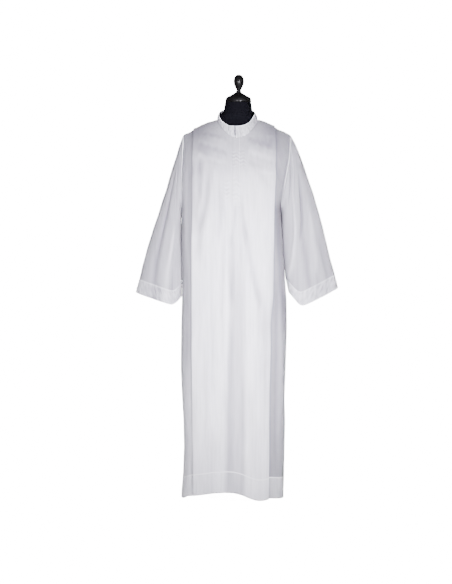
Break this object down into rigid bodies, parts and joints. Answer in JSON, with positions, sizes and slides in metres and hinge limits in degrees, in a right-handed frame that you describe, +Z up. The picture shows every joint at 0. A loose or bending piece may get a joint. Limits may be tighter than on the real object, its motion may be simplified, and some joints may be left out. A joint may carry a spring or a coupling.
{
  "type": "alb robe on a dress form",
  "caption": "Floor-length pleated alb robe with standing collar, front zip placket and wide sleeves, on a limbless dress form with a turned cap.",
  "frame": {"origin": "centre of the stand's round base plate, on its flat underside, on the floor", "axes": "+Z up along the stand's pole, the robe's front faces -Y, +X to the right of someone looking at the front"},
  "size_m": [0.8085, 0.2993, 1.6893],
  "materials": {
    "white_poplin": "matt cotton blend weave",
    "black_jersey": "matt knitted cover",
    "black_lacquer": "gloss lacquer",
    "grey_metal": "satin",
    "black_steel": "satin",
    "pale_paint": "satin"
  },
  "bodies": {
    "root": {"front": "white_poplin", "back": "white_poplin", "sleeve_left": "white_poplin", "sleeve_right": "white_poplin", "collar": "white_poplin", "placket": "white_poplin", "form_torso": "black_jersey", "neck_cap": "black_lacquer", "finial_ring": "grey_metal", "finial": "black_lacquer", "pole": "black_steel", "base": "pale_paint"}
  },
  "joints": []
}
